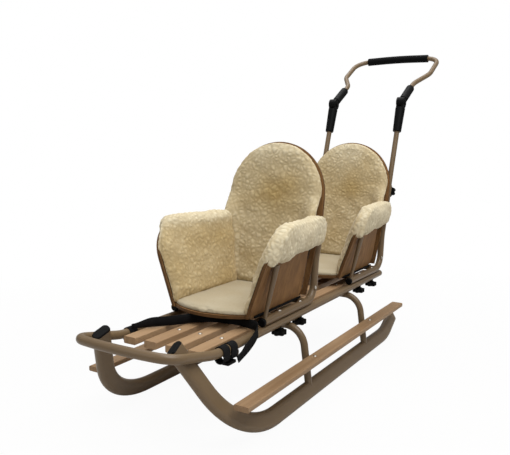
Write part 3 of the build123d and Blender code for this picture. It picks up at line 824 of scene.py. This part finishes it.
@dataclass
class Fasteners:
    """Rivets in the wood, and the bolts and screws of the seat frames, by radius and height."""

    slat_pitch: float = 63.5
    slat_top: float = 219.0
    slat_stations: tuple[float, ...] = (430.0, 165.0, -240.0)
    board_y: float = 215.0
    board_top: float = 118.0
    rail_y: float = 138.0
    rail_top: float = 245.3
    knob_stations: tuple[float, ...] = (85.0, 201.0)
    screw: Place = (7.0, 148.9, 270.0)
    rivet: Span = (5.2, 2.2)
    bolt: Span = (5.8, 3.4)
    dome: tuple[Span, ...] = ((1.0, -0.1), (1.0, 0.25), (0.82, 0.68), (0.45, 0.94), (0.0, 1.0))
    steps: int = 16
    weld: float = 0.02

    def head(self, bm: BMesh, place: Vector, size: Span, up: Vector) -> None:
        """Add a domed head.

        Args:
            bm: the mesh that gets it.
            place: the middle of its seat.
            size: radius and height in millimetres.
            up: the way it points.
        """
        radius, high = (value * MM for value in size)
        verts = [bm.verts.new((out * radius, 0.0, rise * high)) for out, rise in self.dome]
        edges = [bm.edges.new(pair) for pair in zip(verts, verts[1:])]
        bmesh.ops.spin(bm, geom=verts + edges, cent=(0, 0, 0), axis=UP, dvec=(0, 0, 0),
                       angle=math.tau, steps=self.steps, use_merge=True, use_duplicate=False)
        whole = {vert for face in bm.faces if not face.tag for vert in face.verts}
        for face in bm.faces:
            face.tag = True
        turn = up.to_track_quat("Z", "Y").to_matrix().to_4x4()
        bmesh.ops.transform(bm, verts=list(whole), space=Matrix.Identity(4),
                            matrix=Matrix.Translation(place) @ turn)

    def rivet_wood(self, bm: BMesh) -> None:
        """Add the rivets of the slats and of the footboards."""
        for x in self.slat_stations:
            for number in range(SLATS):
                y = (number - (SLATS - 1) / 2) * self.slat_pitch
                self.head(bm, at(x, y, self.slat_top), self.rivet, UP)
        for x in self.slat_stations[1:]:
            for side in Side:
                self.head(bm, at(x, side.value * self.board_y, self.board_top), self.rivet, UP)

    def bolt_seats(self, bm: BMesh) -> None:
        """Add the bolts of the clamps and the screws of the panels."""
        x, y, z = self.screw
        for start in SEAT_STARTS:
            for side in Side:
                for station in self.knob_stations:
                    place = at(start + station, side.value * self.rail_y, self.rail_top)
                    self.head(bm, place, self.bolt, UP)
                out = Vector((0, side.value, 0))
                self.head(bm, at(start + x, side.value * y, z), self.rivet, out)

    def build(self, finishes: Finishes) -> None:
        """Make the rivets and the bolts as two joined meshes."""
        for name, fill in (("wood_rivets", self.rivet_wood), ("seat_bolts", self.bolt_seats)):
            bm = bmesh.new()
            fill(bm)
            bmesh.ops.remove_doubles(bm, verts=bm.verts, dist=self.weld * MM)
            bmesh.ops.recalc_face_normals(bm, faces=bm.faces)
            piece = add_object(name, to_mesh(bm, name, finishes.zinc))
            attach(piece, Body.SLED.value)


# Linings
@dataclass(frozen=True)
class Spot:
    """A place of painted shade in the front seat's wool, or of painted light where its strength is
    negative, in millimetres from the deck's datum.
    """

    place: Place
    reach: float
    strength: float

    def share(self, x: float, y: float, z: float) -> float:
        """How much of the spot shows at a place in millimetres."""
        far = math.dist(self.place, (x, y, z)) / self.reach
        return self.strength * math.exp(-far * far)


@dataclass(frozen=True)
class Fleece:
    """How noise is made into tufts and fuzz. Rates are repeats per curl."""

    swirl: float = 0.35
    swirl_rate: float = 0.7
    tuft_gap: Span = (-0.15, 0.85)
    fuzz: float = 0.35
    fuzz_rate: float = 2.1
    sunk: float = 0.4
    # Paleness rises with the tufts, so the crevices between them get painted shade.
    pale: float = 0.35
    pale_tuft: float = 0.55
    pale_fuzz: float = 0.22
    tan: float = 0.22
    tan_per_metre: float = 16.0

    def sample(self, place: Vector) -> Span:
        """The wool's height in curls, and its paleness, which paints shade into the crevices
        between tufts, at a place that is given in curls.
        """
        swirl = noise.noise_vector(place * self.swirl_rate) * self.swirl
        near, next_near = noise.voronoi(place + swirl)[0][:2]
        tuft = settle(next_near - near, *self.tuft_gap)
        fuzz = noise.noise(place * self.fuzz_rate)
        height = tuft - self.sunk + self.fuzz * fuzz
        return height, self.pale_tuft * tuft + self.pale_fuzz * fuzz + self.pale


@dataclass
class Lining:
    """One padded wool piece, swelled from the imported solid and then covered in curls.

    Lengths are in millimetres. The piece is made once on the front seat, and copied to both seats.
    """

    name: str
    support: str
    swell: float = 5.0
    voxel: float = 4.0
    weld: float = 0.01
    smooths: int = 8
    frames: int = 14
    pressure: float = 4.0
    free_gap: Span = (1.5, 7.0)
    lump: float = 3.0
    lump_size: float = 45.0
    curl: float = 1.9
    curl_size: float = 14.0
    tan: float = 0.2
    spots: tuple[Spot, ...] = ()
    fleece: Fleece = Fleece()
    base: Mesh | None = field(default=None, repr=False)

    def shape(self, x: float, y: float, z: float) -> Place:
        """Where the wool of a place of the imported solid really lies, all in millimetres."""
        return x, y, z

    def steer(self, moves: np.ndarray) -> np.ndarray:
        """The part of the wool's moves that its edges allow."""
        return moves

    def tan_at(self, x: float, y: float, z: float) -> float:
        """How tan the wool is at a place of the front seat."""
        return self.tan

    def skin_at(self, x: float, y: float, z: float, facing: Vector) -> float:
        """How much painted shade lies on the hide at a place, from the way it faces."""
        return 0.0

    def evaluated(self, mesh: Mesh, kind: str, **settings: object) -> Mesh:
        """Apply one modifier.

        Args:
            mesh: the mesh to change, which is removed.
            kind: Blender's modifier type.
            settings: the modifier's settings.

        Returns:
            The new mesh.
        """
        holder = add_object(self.name, mesh)
        modifier = holder.modifiers.new("step", kind)
        for key, value in settings.items():
            setattr(modifier, key, value)
        graph = bpy.context.evaluated_depsgraph_get()
        result = bpy.data.meshes.new_from_object(holder.evaluated_get(graph))
        bpy.data.objects.remove(holder)
        bpy.data.meshes.remove(mesh)
        return result

    def solid(self) -> Mesh:
        """A closed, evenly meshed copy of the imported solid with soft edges."""
        bm = opened(NODES[f"front_{self.name}"].data)
        bmesh.ops.remove_doubles(bm, verts=bm.verts, dist=self.weld * MM)
        mesh = bpy.data.meshes.new(self.name)
        bm.to_mesh(mesh)
        bm.free()
        mesh = self.evaluated(mesh, "REMESH", mode="VOXEL", voxel_size=self.voxel * MM)
        bm = opened(mesh)
        for _ in range(self.smooths):
            bmesh.ops.smooth_vert(bm, verts=bm.verts, factor=0.5,
                                  use_axis_x=True, use_axis_y=True, use_axis_z=True)
        bm.to_mesh(mesh)
        bm.free()
        return mesh

    def free(self, mesh: Mesh) -> np.ndarray:
        """How free each vertex is of what the lining lies on, from 0 to 1."""
        bm = opened(NODES[self.support].data)
        tree = BVHTree.FromBMesh(bm)
        bm.free()
        held, loose = (gap * MM for gap in self.free_gap)
        gaps = (tree.find_nearest(vertex.co)[3] for vertex in mesh.vertices)
        return np.array([settle(gap, held, loose) for gap in gaps])

    def swelled(self, mesh: Mesh, free: np.ndarray) -> None:
        """Blow the pad up as cloth, and keep the part of the move that its support allows."""
        holder = add_object(self.name, mesh)
        cloth = holder.modifiers.new("swell", "CLOTH")
        cloth.settings.use_pressure = True
        cloth.settings.uniform_pressure_force = self.pressure
        cloth.settings.effector_weights.gravity = 0.0
        cloth.settings.quality = 4
        cloth.point_cache.frame_start, cloth.point_cache.frame_end = 1, self.frames
        scene = bpy.context.scene
        for number in range(1, self.frames + 1):
            scene.frame_set(number)
        graph = bpy.context.evaluated_depsgraph_get()
        rest = read_places(mesh)
        moves = read_places(holder.evaluated_get(graph).data) - rest
        scene.frame_set(1)
        bpy.data.objects.remove(holder)
        far = np.linalg.norm(moves, axis=1)
        share = np.minimum(1.0, self.swell * MM / np.maximum(far, 1e-9)) * free
        write_places(mesh, rest + self.steer(moves * share[:, None]))

    def prepare(self) -> None:
        """Make the swelled base that all copies of this lining start from."""
        mesh = self.solid()
        free = self.free(mesh)
        self.swelled(mesh, free)
        places = (from_datum(Vector(place)) for place in read_places(mesh))
        write_places(mesh, np.array([at(*self.shape(*place)) for place in places]))
        store(mesh, "free", free)
        self.base = self.evaluated(mesh, "SUBSURF", levels=1, render_levels=1)
        tans_and_shades, hide_shades = [], []
        for vertex in self.base.vertices:
            place = from_datum(vertex.co)
            # The spots add painted shade and painted light to the tan share.
            tans_and_shades.append(self.tan_at(*place) + sum(spot.share(*place) for spot in self.spots))
            # The hide share is painted shade.
            hide_shades.append(self.skin_at(*place, vertex.normal))
        store(self.base, "tan", tans_and_shades)
        store(self.base, "skin", hide_shades)

    def make(self, seat: "Seat", material: Material, slot: str) -> None:
        """Make this lining of one seat.

        Args:
            seat: the seat that it belongs to.
            material: its finish.
            slot: not used.
        """
        bm = opened(self.base)
        node = f"{seat.name}_{self.name}"
        bmesh.ops.translate(bm, vec=(seat.shift * MM, 0, 0), verts=bm.verts)
        mesh = to_mesh(bm, f"{node}_wool", material)
        self.curled(mesh)
        piece = add_object(f"{node}_wool", mesh)
        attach(piece, Body.SLED.value)
        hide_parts(node)

    def curled(self, mesh: Mesh) -> None:
        """Raise lumps and curls along the normals, and store how pale each vertex is, which paints
        shade into the crevices, and how tan.
        """
        count = len(mesh.vertices)
        free, tans_and_shades, normals = np.empty(count), np.empty(count), np.empty(3 * count)
        mesh.attributes["free"].data.foreach_get("value", free)
        mesh.attributes["tan"].data.foreach_get("value", tans_and_shades)
        mesh.vertex_normals.foreach_get("vector", normals)
        heights, curl_shading = np.zeros(count), np.zeros(count)
        fleece = self.fleece
        for number, vertex in enumerate(mesh.vertices):
            height, curl_shading[number] = fleece.sample(vertex.co / (self.curl_size * MM))
            lump = noise.noise(vertex.co / (self.lump_size * MM))
            heights[number] = self.lump * lump + self.curl * height
            tans_and_shades[number] += fleece.tan * noise.noise(vertex.co * fleece.tan_per_metre)
        moves = (heights * free * MM)[:, None] * normals.reshape(count, 3)
        write_places(mesh, read_places(mesh) + self.steer(moves))
        for key, values in (("curl", curl_shading), ("tan", tans_and_shades)):
            store(mesh, key, np.clip(values, 0.0, 1.0))
        mesh.attributes.remove(mesh.attributes["free"])


@dataclass
class BackLining(Lining):
    """The wool in front of a seat's back, drawn forward at the sides to meet the arms."""

    lean: float = 8.5
    wing: float = 27.0
    wing_y: Span = (95.0, 150.0)
    wing_z: Span = (545.0, 475.0)
    rim_share: float = 0.3
    tuck: float = 3.0
    tuck_z: Span = (275.0, 267.0)
    # Painted shade on the hide where it faces sideways, low down.
    bare_facing: Span = (0.5, 0.75)
    bare_z: Span = (445.0, 420.0)

    def shape(self, x: float, y: float, z: float) -> Place:
        """Draw the lower sides forward, and press the foot into the pan's wool."""
        wing = self.wing * settle(abs(y), *self.wing_y) * settle(z, *self.wing_z)
        return x + wing, y, z - self.tuck * settle(z, *self.tuck_z)

    def steer(self, moves: np.ndarray) -> np.ndarray:
        """Keep the wool from growing sideways over the board's rim."""
        lean = math.radians(self.lean)
        ahead = np.array((math.cos(lean), 0.0, math.sin(lean)))
        square = (moves @ ahead)[:, None] * ahead
        return square + self.rim_share * (moves - square)

    def skin_at(self, x: float, y: float, z: float, facing: Vector) -> float:
        """Painted shade on the hide's edge, low down where it shows behind the side panels."""
        return settle(abs(facing.y), *self.bare_facing) * settle(z, *self.bare_z)


@dataclass
class ArmLining(Lining):
    """The wool of a side panel, turned over its top to an uneven hem outside.

    Places along the arm start at the seat's side frame, and places out at the panel's middle.
    """

    side: Side = Side.LEFT
    foot_y: float = 114.0
    foot_z: float = 247.0
    flare: Span = (9.5, 20.0)
    flare_along: Span = (40.0, 326.0)
    flap_out: Span = (0.0, 8.0)
    flap_z: Span = (479.0, 390.0)
    wave: float = 1.5
    wave_size: float = 19.0
    droop: float = 7.0
    droop_along: float = 245.0
    droop_reach: float = 36.0
    heel: float = 46.0
    heel_along: float = 30.0
    heel_bulge: float = 9.0
    heel_out: float = 0.7
    bulge_along: Span = (75.0, 0.0)
    front_along: float = 285.0
    front_lift: float = -9.0
    front_pull: float = 0.0
    pull_along: Span = (235.0, 335.0)
    pull_z: Span = (385.0, 450.0)
    flap_pull: float = 6.0
    flap_along: Span = (255.0, 335.0)
    tuck: float = 9.0
    tuck_z: Span = (290.0, 265.0)
    tan_out: Span = (0.0, -12.0)
    tan_z: Span = (478.0, 440.0)
    # Painted shade on the hide's side and rear edge behind the panel.
    bare_facing: Span = (0.2, 0.5)
    bare_out: Span = (9.0, 6.0)
    bare_z: Span = (396.0, 388.0)
    rear_along: Span = (48.0, 40.0)
    rear_out: Span = (-14.0, -9.0)

    def out(self, x: float, y: float, z: float) -> float:
        """How far a place stands out from the panel's middle."""
        low, high = (math.tan(math.radians(angle)) for angle in self.flare)
        start, end = self.flare_along
        share = (x - FRONT_SEAT_X - start) / (end - start)
        lean = low + share * (high - low)
        return self.side.value * y - self.foot_y - lean * (z - self.foot_z)

    def hem_shift(self, along: float) -> float:
        """How far the hem stands above its even height, along the arm."""
        droop = self.droop * math.exp(-((along - self.droop_along) / self.droop_reach) ** 2)
        shift = self.wave * math.sin(along / self.wave_size) - droop
        if along < self.heel_along:
            round_off = self.heel ** 2 - (self.heel_along - along) ** 2
            shift += self.heel - math.sqrt(max(0.0, round_off))
        if along > self.front_along:
            reach = self.flare_along[1] - self.front_along
            shift += self.front_lift * ((along - self.front_along) / reach) ** 2
        return shift

    def shape(self, x: float, y: float, z: float) -> Place:
        """Bend the flap's hem, fatten its heel, and press the foot into the pan's wool."""
        along = x - FRONT_SEAT_X
        flap = settle(self.out(x, y, z), *self.flap_out)
        top, hem = self.flap_z
        share = min(1.0, max(0.0, (top - z) / (top - hem)))
        heel = self.heel_bulge * flap * settle(along, *self.bulge_along)
        pull = self.front_pull * settle(along, *self.pull_along) * settle(z, *self.pull_z)
        pull += self.flap_pull * flap * settle(along, *self.flap_along)
        sink = self.tuck * settle(z, *self.tuck_z)
        rise = flap * share * self.hem_shift(along)
        return x - heel - pull, y + self.side.value * self.heel_out * heel, z + rise - sink

    def tan_at(self, x: float, y: float, z: float) -> float:
        """Tan inside the seat, pale over the top and outside."""
        inside = settle(self.out(x, y, z), *self.tan_out) * settle(z, *self.tan_z)
        return self.tan * inside

    def skin_at(self, x: float, y: float, z: float, facing: Vector) -> float:
        """Painted shade on the hide's side and rear edge, where they show behind the panel."""
        out = self.out(x, y, z)
        rear = settle(x - FRONT_SEAT_X, *self.rear_along) * settle(out, *self.rear_out)
        shaded = max(settle(self.side.value * facing.y, *self.bare_facing), rear)
        return shaded * settle(out, *self.bare_out) * settle(z, *self.bare_z)


@dataclass
class PanLining(Lining):
    """The short fleece on a seat's pan, spread to meet the arms."""

    spread: float = 6.0
    spread_y: Span = (40.0, 95.0)

    def shape(self, x: float, y: float, z: float) -> Place:
        """Spread the pad's sides under the arms."""
        return x, y + math.copysign(self.spread * settle(abs(y), *self.spread_y), y), z


# Seats
@dataclass
class EdgeBead:
    """Black beads under the side panels, filling the gap to the rails with painted shade where the
    seat shades the deck.
    """

    reach: Span = (52.0, 296.0)
    line: Span = (121.0, 247.6)
    radius: float = 3.4
    rings: int = 12

    def build(self, finishes: Finishes) -> None:
        """Make the four beads as one mesh of round bars with domed ends."""
        bm = bmesh.new()
        lie_down = Matrix.Rotation(math.pi / 2, 3, "Y")
        y, z = self.line
        for start in SEAT_STARTS:
            for side in Side:
                first, last = (at(start + x, side.value * y, z) for x in self.reach)
                made = bmesh.ops.create_uvsphere(bm, u_segments=self.rings, v_segments=self.rings,
                                                 radius=self.radius * MM)["verts"]
                bmesh.ops.rotate(bm, verts=made, cent=(0, 0, 0), matrix=lie_down)
                for vert in made:
                    vert.co += last if vert.co.x > 0 else first
        piece = add_object("panel_shade_beads", to_mesh(bm, "panel_shade_beads", finishes.plastic))
        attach(piece, Body.SLED.value)


@dataclass
class Seat:
    """One bucket seat with its frame, plywood and lining, shifted along X from the front one."""

    name: str
    shift: float

    def build(self, finishes: Finishes, linings: Sequence[Lining]) -> None:
        """Dress the seat and line it.

        Args:
            finishes: the sled's finishes.
            linings: the prepared linings of the front seat.
        """
        dress(finishes.pan, f"{self.name}_pan")
        dress(finishes.back, f"{self.name}_back")
        dress(finishes.panel, *pair(f"{self.name}_panel"))
        dress(finishes.paint, *pair(f"{self.name}_side_frame"), *pair(f"{self.name}_post"),
              f"{self.name}_cross_tubes")
        for lining in linings:
            if isinstance(lining, PanLining):
                lining.make(self, finishes.short_wool, "fleece_short")
            else:
                lining.make(self, finishes.wool, "sheepskin")


def prepare_linings() -> list[Lining]:
    """The four linings of a seat, each made once for the front seat."""
    # Painted shade in the middle and low on the back's wool, and painted light at its top.
    spots = (Spot((35.0, 14.0, 552.0), reach=105.0, strength=0.55),
             Spot((62.0, -40.0, 340.0), reach=90.0, strength=0.1),
             Spot((0.0, 6.0, 665.0), reach=75.0, strength=-0.4))
    linings = [
        BackLining("fleece_back", "front_back", tan=0.3, spots=spots),
        ArmLining("fleece_arm_left", "front_panel_left", swell=11.0, lump=4.0, tan=0.35),
        ArmLining("fleece_arm_right", "front_panel_right", side=Side.RIGHT, swell=6.0, lump=3.5,
                  tan=0.65, front_lift=26.0, front_pull=9.0, flap_pull=30.0, heel_bulge=0.0),
        PanLining("fleece_pan", "front_pan", swell=4.0, smooths=4, lump=1.0, lump_size=70.0,
                  curl=0.35, curl_size=7.0, tan=0.1),
    ]
    for lining in linings:
        lining.prepare()
        LOG.info("prepared %s, %d faces", lining.name, len(lining.base.polygons))
    return linings


def main() -> None:
    """Build the studio and dress every sub-assembly in order."""
    logging.basicConfig(level=logging.INFO, format="%(name)s: %(message)s")
    finishes = Finishes()
    Studio().build()
    for assembly in (TowStrap(), Chassis(), PushHandle(), Fasteners(), EdgeBead()):
        assembly.build(finishes)
        LOG.info("dressed %s", type(assembly).__name__)
    noise.seed_set(NOISE_SEED)
    linings = prepare_linings()
    for seat in (Seat("front", 0.0), Seat("rear", REAR_SEAT_X - FRONT_SEAT_X)):
        seat.build(finishes, linings)
        LOG.info("lined the %s seat", seat.name)
    for lining in linings:
        bpy.data.meshes.remove(lining.base)


if __name__ == "__main__":
    main()
